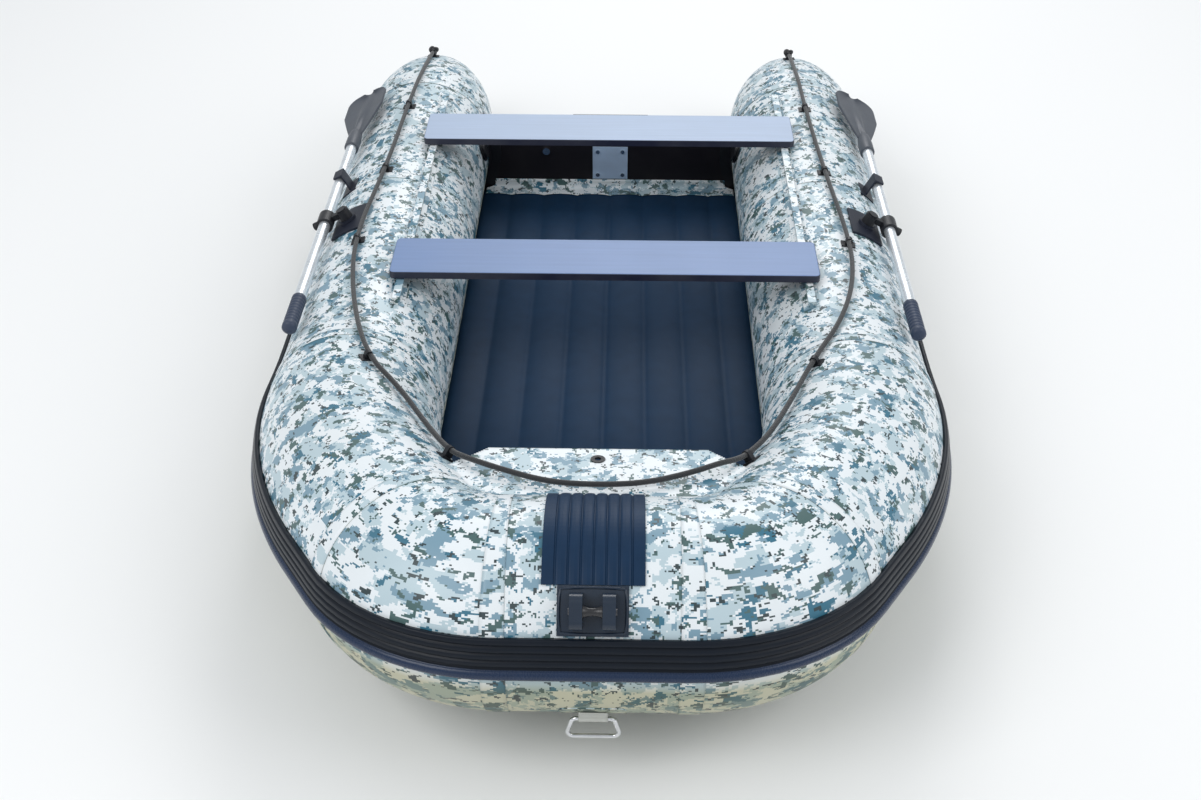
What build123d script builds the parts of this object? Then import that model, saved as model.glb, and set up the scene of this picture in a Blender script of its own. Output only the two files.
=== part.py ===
from build123d import *
from math import asin, cos, degrees, radians, sin, sqrt
import os

# Inflatable dinghy with an outboard transom. Millimetres, +Z up, bow towards -Y, port side +X.
# The origin is on the ground under the middle of the hull.

# Hull
hull_length = 2800
hull_beam = 1520
tube_radius = 194
skin = 1.2                 # coated fabric of the buoyancy tubes
gap = 0.3                  # clearance between pieces that are glued or lie on each other
bow_pitch = 7.8            # rise of the bow plane, degrees
rise_start = -300          # where the tubes leave the level, along Y
bend_radius = 1000
bend_angle = 31
bow_flat = 120             # straight run between bow bend and bow corner
corner_radius = 215
tail_start = 940
tail_curve = 750           # radius of the tail cone's long curve
tail_tip = 68              # radius where the tail cap sits
tail_cap_depth = 44
tail_cap_wall = 3

# Rub strake, on the outboard side of the tubes
strake_depth = 12
strake_start = -5          # lower edge, degrees round the tube above straight outboard
strake_angle = 23.5        # height of the strake, degrees round the tube
strake_rib = 2.5

# Floor and bottom
bottom_height = 20
bottom_skin = 1.5
guard_width = 60
guard_depth = 3
floor_bottom = 22
floor_top = 80
floor_half_width = 396
floor_skin = 2

# Transom
transom_front = 833
transom_thick = 25
transom_top = 302
holder_base = 4
holder_lip = 30
holder_length = 120
motor_plate = (104, 4, 104)
motor_plate_z = 162
outer_pad = (220, 8, 206)
bolt_radius = 3
bolt_spread = (74, 76)
nut_height = 5
nut_room = 7.5             # radius of the pockets in the outer pad
tow_eye_x = -190
tow_eye_z = 200
tow_eye_bore = 9
flap_size = (50, 28)
flap_inset = 38            # its ends, from the inboard side of the tubes

# Bow fittings
apron_drop = 40            # apron below the top of the tubes
apron_thick = 2
apron_reach = 292          # apron's aft edge, behind the axis of the bow tube
apron_edge = 215           # half the length of its straight aft edge
apron_corner = (265, 248)  # where its cut corners end
eyelet_radius = 9
eyelet_back = 41           # from the apron's aft edge
pad_width = 177
pad_angles = (45, 122)     # from straight forward over the top, degrees round the tube
pad_thick = 5
fairlead_width = 122
fairlead_angles = (20, 44.7)
fairlead_base = 6
cheek_height = 38
cheek_thick = 22
channel_width = 34
roller_radius = 11
axle_height = 17           # above the fairlead's base
pin_radius = 4
ring_rod = 4
ring_top = 74
ring_base = 100
ring_height = 46
ring_angle = -48

# Seats
rail_inset = 79            # rails inboard of the tubes' axes
rail_ends = (-298, 822)
rail_web = 8
rail_head = (18, 6)
rail_rise = 2              # rails' top above the tubes
slider_size = (46, 60)
slider_lip = 4
slide_gap = 0.4
seat_size = (1000, 158, 18)
front_seat_y = -142
rear_seat_y = 552

# Rowlocks and oars
pivot_y = 95
pivot_angle = 62
boss_radius = 17
rowlock_pad = (84, 120, 6)
shaft_offset = 52          # oar shaft outboard of the swivel axis
shaft_height = 28          # oar shaft above the tube
shaft_radius = 14
shaft_wall = 1.5
oar_ends = (-395, 860)
grip_length = 130
grip_radius = 17
blade_start = 500
blade_width = 128
blade_thick = 9
collar_length = 46
collar_radius = 21
clip_y = 315
clip_length = 40

# Lifeline
rope_radius = 5.5
holder_size = (34, 26, 3)
holder_wall = 2.5
loop_length = 12
loop_gap = 0.5
knot_radius = 9

# Air valves
valve_radius = 28
valve_flange = 4
valve_cup = (18, 22)       # radius and depth of the cup inside the tube
valve_cap = (21, 7)
side_valve_y = 720
side_valve_angle = 163
bow_valve_angle = 168
floor_valve = (254, 400)   # inboard of the port tube's axis, and along Y


# ---------------------------------------------------------------- paths

def straight(plane, length):
    """The section plane, moved on along its own direction."""
    return Plane(plane.origin + plane.z_dir * length, x_dir=plane.x_dir, z_dir=plane.z_dir)


def turn(plane, toward, radius, angle):
    """The section plane after an arc that bends towards a side, and the axis of that arc."""
    centre = plane.origin + toward * radius
    axis = (-toward).cross(plane.z_dir)
    spin = Axis((0, 0, 0), axis)
    origin = centre + (plane.origin - centre).rotate(spin, angle)
    x_dir = plane.x_dir.rotate(spin, angle)
    z_dir = plane.z_dir.rotate(spin, angle)
    return Plane(origin, x_dir=x_dir, z_dir=z_dir), Axis(centre, axis)


def mirrored(shape):
    return mirror(shape, about=Plane.YZ)


def largest(shape):
    return max(shape.solids(), key=lambda solid: solid.volume)


bend = radians(bend_angle)
bend_in = bend_radius * (1 - cos(bend)) + bow_flat * sin(bend) + corner_radius * cos(bend)
bend_out = bend_radius * sin(bend) + bow_flat * cos(bend) + corner_radius * (1 - sin(bend))
tube_x = hull_beam / 2 - strake_depth - tube_radius
bow_y = -hull_length / 2 + (tube_radius + strake_depth) * cos(radians(bow_pitch + strake_start))
bend_start = bow_y + bend_out * cos(radians(bow_pitch))
rise_radius = (rise_start - bend_start) / sin(radians(bow_pitch))
bow_half = tube_x - bend_in
rail_x = tube_x - rail_inset
rail_top = 2 * tube_radius + rail_rise
apron_height = 2 * tube_radius - apron_drop
flap_half_width = tube_x - tube_radius - flap_inset
tail_length = sqrt(tail_curve ** 2 - (tail_curve - tube_radius + tail_tip) ** 2)

stern_plane = Plane((tube_x, tail_start, tube_radius), x_dir=(1, 0, 0), z_dir=(0, -1, 0))
rise_plane = straight(stern_plane, tail_start - rise_start)
bend_plane, rise_axis = turn(rise_plane, rise_plane.y_dir, rise_radius, bow_pitch)
flat_plane, bend_axis = turn(bend_plane, -bend_plane.x_dir, bend_radius, bend_angle)
corner_plane = straight(flat_plane, bow_flat)
bow_plane, corner_axis = turn(corner_plane, -corner_plane.x_dir, corner_radius, 90 - bend_angle)
mid_plane = straight(bow_plane, bow_half)


def ring(outer, inner):
    return Circle(outer) - Circle(inner)


def sector(outer, inner, start, end):
    """Part of a ring between two angles, counted from outboard over the top."""
    arc = CenterArc((0, 0), outer, start, end - start)
    back = CenterArc((0, 0), inner, end, start - end)
    return make_face([arc, Line(arc @ 1, back @ 0), back, Line(back @ 1, arc @ 0)])


def hull_run(profile):
    """A section carried along the port tube, as side, bend, corner and bow solids."""
    side = extrude(stern_plane * profile, tail_start - rise_start)
    side += revolve(rise_plane * profile, rise_axis, bow_pitch)
    curve = revolve(bend_plane * profile, bend_axis, bend_angle)
    corner = extrude(flat_plane * profile, bow_flat)
    corner += revolve(corner_plane * profile, corner_axis, 90 - bend_angle)
    front = extrude(bow_plane * profile, 2 * bow_half)
    return side, curve, corner, front


def keel_run(profile, back):
    """A section carried along the middle of the boat, level and then up the bow plane."""
    start = Plane((0, back, tube_radius), x_dir=(1, 0, 0), z_dir=(0, -1, 0))
    level = straight(start, back - rise_start)
    up, axis = turn(level, level.y_dir, rise_radius, bow_pitch)
    body = extrude(start * profile, back - rise_start)
    body += revolve(level * profile, axis, bow_pitch)
    return body + extrude(up * profile, bend_out)


def tail_run(wall):
    """A tail cone as a solid of revolution, with its radius reduced by the wall."""
    radius = tube_radius - wall
    curve = tail_curve - wall
    angle = degrees(asin(tail_length / curve))
    arc = CenterArc((0, tube_radius - tail_curve), curve, 90, -angle)
    end = arc @ 1
    outline = [arc, Line(end, (end.X, 0)), Line((end.X, 0), (0, 0)), Line((0, 0), (0, radius))]
    solid = revolve(make_face(outline), Axis.X, 360)
    place = Plane((tube_x, tail_start, tube_radius), x_dir=(0, 1, 0), z_dir=(1, 0, 0))
    return place.location * solid


def tube_blocks(extra):
    """The outer shape of all the tubes, grown by a clearance, to cut other pieces with."""
    side, curve, corner, front = hull_run(Circle(tube_radius + extra))
    blocks = [side, curve, corner]
    return blocks + [mirrored(block) for block in blocks] + [front]


def cut_by_tubes(shape, extra=gap):
    for block in tube_blocks(extra):
        shape = shape - block
    return largest(shape)


def on_tube(section, angle, height=0):
    """A plane on the tube: Z is the outward normal, X runs round it and Y along it, aft."""
    a = radians(angle)
    normal = section.x_dir * cos(a) + section.y_dir * sin(a)
    origin = section.origin + normal * (tube_radius + height)
    return Plane(origin, x_dir=normal.cross(section.z_dir), z_dir=normal)


def side_section(y):
    return straight(stern_plane, tail_start - y)


def bow_section(angle_along):
    """A section plane on the port bow bend."""
    return turn(bend_plane, -bend_plane.x_dir, bend_radius, angle_along)[0]


# ---------------------------------------------------------------- hull

def hull_tubes():
    side, curve, corner, front = hull_run(ring(tube_radius, tube_radius - skin))
    cone = tail_run(0) - tail_run(skin)
    hull = {}
    for name, piece in [("side_tube", side), ("bow_bend", curve), ("bow_corner", corner),
                        ("tail_cone", cone)]:
        hull["port_" + name] = piece
        hull["starboard_" + name] = mirrored(piece)
    hull["bow_tube"] = front
    return hull


def tail_caps():
    sphere = (tail_tip ** 2 + tail_cap_depth ** 2) / (2 * tail_cap_depth)
    ball = Sphere(sphere) - Sphere(sphere - tail_cap_wall)
    cut = Pos(0, -tail_cap_depth, 0) * Box(3 * sphere, 2 * sphere, 3 * sphere)
    cap_y = tail_start + tail_length + tail_cap_depth - sphere
    cap = Pos(tube_x, cap_y, tube_radius) * (ball - cut)
    return [cap, mirrored(cap)]


def baffles():
    disc = extrude(bend_plane * Circle(tube_radius - skin - gap), -skin)
    return [disc, mirrored(disc)]


def strakes():
    band = sector(tube_radius + strake_depth, tube_radius + gap, strake_start,
                  strake_start + strake_angle)
    ribs = 4
    step = strake_angle / ribs
    for k in range(1, ribs):
        a = radians(strake_start + k * step)
        r = tube_radius + strake_depth
        band -= Pos(r * cos(a), r * sin(a)) * Circle(strake_rib)
    side, curve, corner, front = hull_run(band)
    port = [side, curve, corner]
    return port, [mirrored(piece) for piece in port], front


def floor_pieces():
    """Bottom skin, keel guard and hollow floor mat, each cut to the inner shape of the tubes."""
    back = transom_front + transom_thick
    skin_mid = bottom_height - bottom_skin / 2 - tube_radius
    bottom = keel_run(Pos(0, skin_mid) * Rectangle(2 * tube_x, bottom_skin), back)
    guard_mid = bottom_height - bottom_skin - guard_depth / 2 - tube_radius
    guard = keel_run(Pos(0, guard_mid) * Rectangle(guard_width, guard_depth), back)
    mat_mid = (floor_bottom + floor_top) / 2 - tube_radius
    width, height = 2 * floor_half_width, floor_top - floor_bottom
    mat = keel_run(Pos(0, mat_mid) * Rectangle(width, height), transom_front - gap)
    air = Rectangle(width - 2 * floor_skin, height - 2 * floor_skin)
    air = keel_run(Pos(0, mat_mid) * air, transom_front - gap - floor_skin)
    mat = cut_by_tubes(mat) - cut_by_tubes(air, gap + floor_skin)
    return cut_by_tubes(bottom), cut_by_tubes(guard), mat


# ---------------------------------------------------------------- transom

def bolt_places():
    for dx in (-bolt_spread[0] / 2, bolt_spread[0] / 2):
        for dz in (-bolt_spread[1] / 2, bolt_spread[1] / 2):
            yield dx, motor_plate_z + dz


def cross_hole(x, z, radius):
    return Pos(x, transom_front + transom_thick / 2, z) * Rot(90, 0, 0) * Cylinder(radius, 120)


def transom_pieces():
    base = bottom_height + gap
    height = transom_top - base
    board = Pos(0, transom_front + transom_thick / 2, base + height / 2) * Box(
        2 * tube_x, transom_thick, height)
    board = cut_by_tubes(board, holder_base + 2 * gap)
    inner = Pos(0, transom_front - motor_plate[1] / 2, motor_plate_z) * Box(*motor_plate)
    outer_y = transom_front + transom_thick + outer_pad[1] / 2
    outer = Pos(0, outer_y, transom_top - outer_pad[2] / 2) * Box(*outer_pad)
    bolts = []
    clear = bolt_radius + 0.05
    for x, z in bolt_places():
        board -= cross_hole(x, z, clear)
        inner -= cross_hole(x, z, clear)
        outer -= cross_hole(x, z, nut_room)
        front = transom_front - motor_plate[1]
        back = transom_front + transom_thick + nut_height
        shank = Pos(x, (front + back) / 2, z) * Rot(90, 0, 0) * Cylinder(bolt_radius, back - front)
        head = Pos(x, front - 2, z) * Rot(90, 0, 0) * Cylinder(2 * bolt_radius, 4)
        hexagon = extrude(RegularPolygon(1.8 * bolt_radius, 6), nut_height / 2, both=True)
        nut = Pos(x, back - nut_height / 2, z) * Rot(90, 0, 0) * hexagon
        bolts.append(shank + head + nut)
    board -= cross_hole(tow_eye_x, tow_eye_z, 5.05)
    return largest(board), largest(inner), largest(outer), bolts


def tow_eye():
    """A through bolt with a capped nut inside and a level lug with an upright eye outside."""
    front = transom_front
    back = transom_front + transom_thick
    turned = Rot(90, 0, 0)
    shank = Pos(tow_eye_x, (front + back) / 2, tow_eye_z) * turned * Cylinder(5, transom_thick)
    cap = Pos(tow_eye_x, front - 4, tow_eye_z) * turned * Cylinder(11, 8)
    flange = Pos(tow_eye_x, back + 2, tow_eye_z) * turned * Cylinder(16, 4)
    lug = Pos(tow_eye_x, back + 21, tow_eye_z) * Cylinder(18, 6)
    neck = Pos(tow_eye_x, back + 10, tow_eye_z) * Box(24, 14, 6)
    hole = Pos(tow_eye_x, back + 21, tow_eye_z) * Cylinder(tow_eye_bore, 20)
    return shank + cap + flange + (lug + neck - hole)


def transom_holders():
    """Moulded channels glued to the tubes, which grip the ends of the transom board."""
    reach = tube_radius + holder_base + holder_lip
    low = 180 + degrees(asin((tube_radius - floor_top - 4) / reach))
    high = 180 - degrees(asin((transom_top - tube_radius) / reach))
    middle = transom_front + transom_thick / 2
    base = sector(tube_radius + holder_base, tube_radius + gap, high, low)
    holder = extrude(side_section(middle + holder_length / 2) * base, holder_length)
    lip = sector(tube_radius + holder_base + holder_lip, tube_radius + holder_base - 1, high, low)
    for back in (transom_front - gap, transom_front + transom_thick + gap + holder_base):
        holder += extrude(side_section(back) * lip, holder_base)
    return [holder, mirrored(holder)]


def transom_flap():
    """Fabric strip that seals the back of the floor to the foot of the transom."""
    profile = Plane.YZ * Polygon((0, 0), (-flap_size[0], 0), (-flap_size[0], 2), (-8, 6), (-3, flap_size[1]),
                                 (0, flap_size[1]), align=None)
    flap = extrude(profile, flap_half_width, both=True)
    return Pos(0, transom_front - gap, floor_top + gap) * flap


# ---------------------------------------------------------------- bow

def bow_local(y_back, height):
    """A point above the middle of the bow tube, in the plane of the bow."""
    forward = mid_plane.x_dir
    up = mid_plane.y_dir
    return mid_plane.origin - forward * y_back + up * (height - tube_radius)


def apron():
    up = mid_plane.y_dir
    flat = Plane(bow_local(0, apron_height), x_dir=(1, 0, 0), z_dir=up)
    x, back = apron_corner
    outline = [(450, 0), (450, 200), (x, back), (apron_edge, apron_reach)]
    outline += [(-px, py) for px, py in reversed(outline)]
    sheet = extrude(flat * Polygon(*outline, align=None), apron_thick / 2, both=True)
    eye = Plane(bow_local(apron_reach - eyelet_back, apron_height), x_dir=(1, 0, 0), z_dir=up)
    sheet = cut_by_tubes(sheet)
    sheet = sheet - eye.location * Cylinder(eyelet_radius, 20)
    grommet = extrude(eye * ring(eyelet_radius + 5, eyelet_radius - 2.5), apron_thick / 2 + 1.2)
    grommet += extrude(eye * ring(eyelet_radius - 0.1, eyelet_radius - 2.5), -apron_thick)
    grommet = grommet - eye.location * Box(60, 60, apron_thick + 0.02) + extrude(
        eye * ring(eyelet_radius - 0.1, eyelet_radius - 2.5), apron_thick, both=True)
    return largest(sheet), grommet


def bow_wrap(width, thick, start, end, base=gap):
    """A plate that lies round the bow tube, between two angles."""
    profile = sector(tube_radius + base + thick, tube_radius + base, start, end)
    return extrude(mid_plane * profile, width / 2, both=True)


def fairlead():
    body = bow_wrap(fairlead_width, fairlead_base, *fairlead_angles)
    middle = sum(fairlead_angles) / 2
    seat = on_tube(mid_plane, middle, fairlead_base)
    # the plane's X runs round the tube and its Y runs across the boat
    cheek = Box(62, cheek_thick, cheek_height)
    cheek = fillet(cheek.edges().filter_by(Axis.Y).group_by(Axis.Z)[-1], 16)
    for side in (-1, 1):
        across = side * (channel_width + cheek_thick) / 2
        place = seat * Pos(0, across, cheek_height / 2 - 2.5)
        body += place * cheek
    axle = seat * Pos(0, 0, axle_height) * Rot(90, 0, 0)
    body -= axle * Cylinder(pin_radius + 0.02, fairlead_width)
    pin_length = channel_width + 2 * cheek_thick
    pin = axle * Cylinder(pin_radius, pin_length)
    for side in (-1, 1):
        pin += axle * Pos(0, 0, side * (pin_length / 2 + 1.2)) * Cylinder(pin_radius + 2.5, 2.4)
    half = channel_width / 2 - 0.5
    groove = [Line((pin_radius + 0.05, -half), (roller_radius, -half)),
              ThreePointArc((roller_radius, -half), (roller_radius - 4, 0), (roller_radius, half)),
              Line((roller_radius, half), (pin_radius + 0.05, half)),
              Line((pin_radius + 0.05, half), (pin_radius + 0.05, -half))]
    roller = axle * revolve(Plane.XZ * make_face(groove), Axis.Z, 360)
    return body, pin, roller, axle.position


def bow_ring_pieces():
    """Fabric patch with a webbing loop, and the steel towing ring that hangs in it."""
    patch = bow_wrap(120, 3, ring_angle - 14, ring_angle + 14)
    seat = on_tube(mid_plane, ring_angle, 3 + gap)
    loop_radius = ring_rod + 3
    lift = loop_radius + 0.5
    hinge = seat * Pos(0, 0, lift)
    loop = hinge * Rot(90, 0, 0) * (Cylinder(loop_radius, ring_top - 20) - Cylinder(ring_rod + 0.05, 200))
    foot = seat * Pos(0, 0, 1.2) * Box(46, ring_top - 20, 3.4)
    foot = foot - hinge * Rot(90, 0, 0) * Cylinder(loop_radius - 0.5, 200)
    patch = patch + loop + foot
    origin = hinge.position
    frame = Plane(origin, x_dir=(1, 0, 0), z_dir=(0, -1, 0))
    corners = [(-ring_top / 2, 0), (-ring_base / 2, -ring_height), (ring_base / 2, -ring_height),
               (ring_top / 2, 0)]
    path = FilletPolyline(*corners, radius=11, close=True)
    wire = frame * path
    section = Plane(wire @ 0, z_dir=wire % 0) * Circle(ring_rod)
    steel = sweep(section, wire)
    return patch, steel, origin


# ---------------------------------------------------------------- seats

def seat_rail():
    """Keder rail glued along the top of the tube, a web with a wider head."""
    length = rail_ends[1] - rail_ends[0]
    middle = (rail_ends[0] + rail_ends[1]) / 2
    head = Pos(rail_x, middle, rail_top - rail_head[1] / 2) * Box(rail_head[0], length, rail_head[1])
    web = Pos(rail_x, middle, rail_top - 20) * Box(rail_web, length, 40)
    foot = Pos(rail_x, middle, rail_top - 20) * Box(34, length, 50)
    shell = extrude(stern_plane * Circle(tube_radius + 3), 2000)
    foot = foot & Pos(0, 600, 0) * shell
    rail = head + web + foot - Pos(0, 600, 0) * extrude(stern_plane * Circle(tube_radius + gap), 2000)
    return largest(rail)


def seat(y):
    board = Pos(0, y, rail_top + slider_lip + seat_size[2] / 2) * Box(*seat_size)
    board = fillet(board.edges().filter_by(Axis.Z), 12)
    board = fillet(board.edges().group_by(Axis.Z)[-1], 3)
    sliders = []
    low = rail_top - rail_head[1] - slide_gap - slider_lip
    high = rail_top + slider_lip
    for side in (-1, 1):
        block = Pos(side * rail_x, y, (low + high) / 2) * Box(slider_size[0], slider_size[1], high - low)
        slot = Pos(side * rail_x, y, rail_top - rail_head[1] / 2) * Box(
            rail_head[0] + 2 * slide_gap, 100, rail_head[1] + 2 * slide_gap)
        neck = Pos(side * rail_x, y, low) * Box(rail_web + 2 * slide_gap, 100, 12)
        keep = Pos(side * rail_x, y, 0) * Box(slider_size[0], slider_size[1], 2000)
        tube = extrude(stern_plane * Circle(tube_radius + 4), 2000)
        block = block - slot - neck
        block = (block & keep) - (tube if side > 0 else mirrored(tube))
        sliders.append(largest(block))
    return board, sliders


# ---------------------------------------------------------------- rowlocks and oars

pivot_section = side_section(pivot_y)
pivot_plane = on_tube(pivot_section, pivot_angle)


def along_oar(y):
    """A place on the shaft's axis, with X outboard along the tube's tangent and Z off the tube."""
    return pivot_plane * Pos(shaft_offset, y - pivot_y, shaft_height)


def rowlock_base():
    width, length, thick = rowlock_pad
    a = degrees(width / tube_radius) / 2
    profile = sector(tube_radius + gap + thick, tube_radius + gap, pivot_angle - a, pivot_angle + a)
    pad = extrude(pivot_section * profile, length / 2, both=True)
    boss = pivot_plane * Pos(0, 0, thick + 2) * Cylinder(boss_radius + 5, 10)
    boss = boss - extrude(straight(pivot_section, -length) * Circle(tube_radius + gap), 2 * length)
    stem = pivot_plane * Pos(0, 0, thick + 16) * Cylinder(7, 30)
    stem = stem - extrude(straight(pivot_section, -length) * Circle(tube_radius + gap + 1), 2 * length)
    return pad + boss + stem


def rowlock_yoke():
    """Turning head on the base's stem, its cross pin through the oar collar, and the outer knob."""
    floor = rowlock_pad[2] + 7 + gap
    top = shaft_height + 9
    head = pivot_plane * Pos(0, 0, (floor + top) / 2) * Cylinder(boss_radius, top - floor)
    head = head - pivot_plane * Pos(0, 0, 0) * Cylinder(7.05, 120)
    cap = pivot_plane * Pos(0, 0, top + 2) * Cylinder(boss_radius - 4, 4)
    arm_start = boss_radius - 4
    arm_end = shaft_offset - collar_radius + 1
    arm = pivot_plane * Pos((arm_start + arm_end) / 2, 0, shaft_height) * Box(
        arm_end - arm_start, 16, 14)
    collar = along_oar(pivot_y) * Rot(90, 0, 0) * (
        Cylinder(collar_radius, collar_length) - Cylinder(shaft_radius + 0.05, 200))
    knob_start = shaft_offset + collar_radius - 1
    knob = pivot_plane * Pos(knob_start + 7, 0, shaft_height) * Rot(0, 90, 0) * Cylinder(10, 14)
    stem_clear = pivot_plane * Cylinder(7.05, 2 * (floor + 18))
    return head + cap + (arm - stem_clear) + collar + knob


def oar_pieces():
    front, back = oar_ends
    middle = (front + 4 + blade_start + 60) / 2
    length = blade_start + 60 - front - 4
    shaft = along_oar(middle) * Rot(90, 0, 0) * (
        Cylinder(shaft_radius, length) - Cylinder(shaft_radius - shaft_wall, 3 * length))
    grip = along_oar(front + grip_length / 2) * Rot(90, 0, 0) * Cylinder(grip_radius, grip_length)
    bore = along_oar(front + 4 + length / 2) * Rot(90, 0, 0) * Cylinder(shaft_radius + 0.05, length)
    grip = fillet(grip.edges(), 5) - bore
    reach = back - blade_start
    half = blade_width / 2
    outline = make_face([
        Line((-16, 0), (16, 0)),
        Spline((16, 0), (half * 0.9, reach * 0.45), (half, reach * 0.75), tangents=[(0.2, 1), (0, 1)]),
        ThreePointArc((half, reach * 0.75), (half * 0.74, reach * 0.95), (0, reach)),
        ThreePointArc((0, reach), (-half * 0.74, reach * 0.95), (-half, reach * 0.75)),
        Spline((-half, reach * 0.75), (-half * 0.9, reach * 0.45), (-16, 0), tangents=[(0, -1), (0.2, -1)])])
    plate = extrude(outline, blade_thick / 2, both=True)
    socket = Pos(0, 45, 0) * Rot(90, 0, 0) * Cylinder(shaft_radius + 5, 90)
    blade = along_oar(blade_start) * (plate + socket)
    inner = along_oar(blade_start + 30) * Rot(90, 0, 0) * Cylinder(shaft_radius + 0.05, 60.2)
    return shaft, grip, blade - inner


def oar_clip():
    """Hook on the tube that the shaft snaps under; its mouth faces outboard."""
    place = along_oar(clip_y)
    room = shaft_radius + 0.6
    wall = 5
    height = shaft_height + room + wall
    back = place * Pos(-room - wall / 2, 0, room + wall - height / 2 - 4) * Box(wall, clip_length, height + 8)
    top = place * Pos(-wall / 2 - 3, 0, room + wall / 2) * Box(2 * room - 6, clip_length, wall)
    foot = place * Pos(-room + 2, 0, -shaft_height) * Box(44, clip_length + 20, 60)
    near = extrude(side_section(clip_y + 40) * Circle(tube_radius + 3 + gap), 80)
    solid = extrude(side_section(clip_y + 40) * Circle(tube_radius + gap), 80)
    return largest(back + top + (foot & near) - solid)


# ---------------------------------------------------------------- air valves

def valve_places():
    """Planes on the skin of each air chamber, with Z pointing out of the valve."""
    side = on_tube(side_section(side_valve_y), side_valve_angle)
    other = Plane((-side.origin.X, side.origin.Y, side.origin.Z), x_dir=(0, 1, 0),
                  z_dir=(-side.z_dir.X, 0, side.z_dir.Z))
    bow = on_tube(mid_plane, bow_valve_angle)
    mat = Plane((tube_x - floor_valve[0], floor_valve[1], floor_top))
    return {"port_side_tube": side, "starboard_side_tube": other, "bow_tube": bow, "floor_mat": mat}


def valve(place):
    cup_radius, cup_depth = valve_cup
    cap_radius, cap_height = valve_cap
    lift = gap + 0.9
    flange = Pos(0, 0, lift + valve_flange / 2) * Cylinder(valve_radius, valve_flange)
    cup = Pos(0, 0, lift - cup_depth / 2 + valve_flange / 2) * Cylinder(
        cup_radius, cup_depth + valve_flange)
    bore = Pos(0, 0, lift + valve_flange) * Cylinder(cup_radius - 3, 2 * (cup_depth - 2))
    stem = Pos(0, 0, lift - cup_depth / 2) * Cylinder(3, cup_depth)
    cap = Pos(0, 0, lift + valve_flange + gap + cap_height / 2) * Cylinder(cap_radius, cap_height)
    cap = fillet(cap.edges().group_by(Axis.Z)[-1], 2)
    return place.location * (flange + cup - bore + stem), place.location * cap


# ---------------------------------------------------------------- lifeline

# The rope's centre line, from the port tail over the bow to the starboard tail.
# HOLDERS marks the points where a holder carries the rope.
ROUTE = [
    (545, 1160, 371), (549, 955, 401), (551, 722, 400), (566, 337, 399), (592, -30, 396),
    (577, -220, 399), (530, -390, 402), (452, -540, 397), (392, -690, 398), (335, -830, 414),
    (287, -902, 421), (261, -937, 436), (234, -958, 446), (178, -992, 449), (92, -1026, 450),
    (0, -1036, 452), (-92, -1026, 450), (-178, -990, 449), (-240, -952, 442), (-288, -900, 421),
    (-345, -800, 408), (-415, -675, 409), (-500, -570, 421), (-572, -310, 399), (-612, -30, 392),
    (-583, 337, 398), (-572, 722, 400), (-560, 955, 401), (-552, 1160, 372)]
HOLDERS = [0, 2, 3, 4, 7, 10, 19, 22, 24, 25, 26, 28]


def rope_corner(index):
    """Radius of the rope's arc at a route point, with the arc's middle and its direction."""
    before, here, after = (Vector(*ROUTE[k]) for k in (index - 1, index, index + 1))
    come = (here - before).normalized()
    leave = (after - here).normalized()
    half = radians(come.get_angle(leave)) / 2
    shorter = min((here - before).length, (after - here).length)
    radius = 0.45 * shorter * cos(half) / sin(half)
    middle = here + (leave - come).normalized() * radius * (1 / cos(half) - 1)
    return radius, middle, (come + leave).normalized()


def rope():
    corners = [rope_corner(index)[0] for index in range(1, len(ROUTE) - 1)]
    print("rope radii from", round(min(corners)), "to", round(max(corners)))
    path = FilletPolyline(*ROUTE, radius=corners)
    return sweep(Plane(path @ 0, z_dir=path % 0) * Circle(rope_radius), path)


def nearest_section(point):
    """The hull section whose axis passes nearest to a point on the port side."""
    sections = [side_section(point.Y)] if point.Y > rise_start else []
    steps = 40
    for k in range(steps + 1):
        sections.append(turn(rise_plane, rise_plane.y_dir, rise_radius, bow_pitch * k / steps)[0])
        sections.append(turn(bend_plane, -bend_plane.x_dir, bend_radius, bend_angle * k / steps)[0])
        sections.append(straight(flat_plane, bow_flat * k / steps))
        corner_angle = (90 - bend_angle) * k / steps
        sections.append(turn(corner_plane, -corner_plane.x_dir, corner_radius, corner_angle)[0])
        sections.append(straight(bow_plane, bow_half * k / steps))
    return min(sections, key=lambda section: (section.origin - point).length)


def rope_holder(index, envelope):
    """Moulded pad on the tube with a loop round the rope, cut to the shape of the tubes."""
    if 0 < index < len(ROUTE) - 1:
        _, point, ahead = rope_corner(index)
    else:
        end, near = Vector(*ROUTE[index]), Vector(*ROUTE[1 if index == 0 else -2])
        ahead = (near - end).normalized()
        point = end + ahead * (loop_length / 2 + gap)
    side = 1 if point.X >= 0 else -1
    axis = nearest_section(Vector(abs(point.X), point.Y, point.Z)).origin
    axis = Vector(side * axis.X, axis.Y, axis.Z)
    out = (point - axis).normalized()
    up = (out - ahead * out.dot(ahead)).normalized()
    along = max(point.Y - tail_start, 0)
    radius = sqrt(tail_curve ** 2 - along ** 2) - tail_curve + tube_radius
    height = ((point - axis).length - radius) * up.dot(out)
    place = Plane(point, x_dir=ahead.cross(up), z_dir=up)
    width, length, thick = holder_size
    inner = rope_radius + loop_gap
    outer = inner + holder_wall
    pad = Pos(0, 0, -height) * Box(width, length, 2 * thick)
    loop = Rot(90, 0, 0) * Cylinder(outer, loop_length)
    leg = Pos(0, 0, -height / 2) * Box(2 * outer, loop_length, height)
    bore = Rot(90, 0, 0) * Cylinder(inner, 4 * loop_length)
    holder = place.location * (pad + loop + leg - bore)
    for block in envelope:
        holder = holder - block
    return largest(holder)


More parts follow.
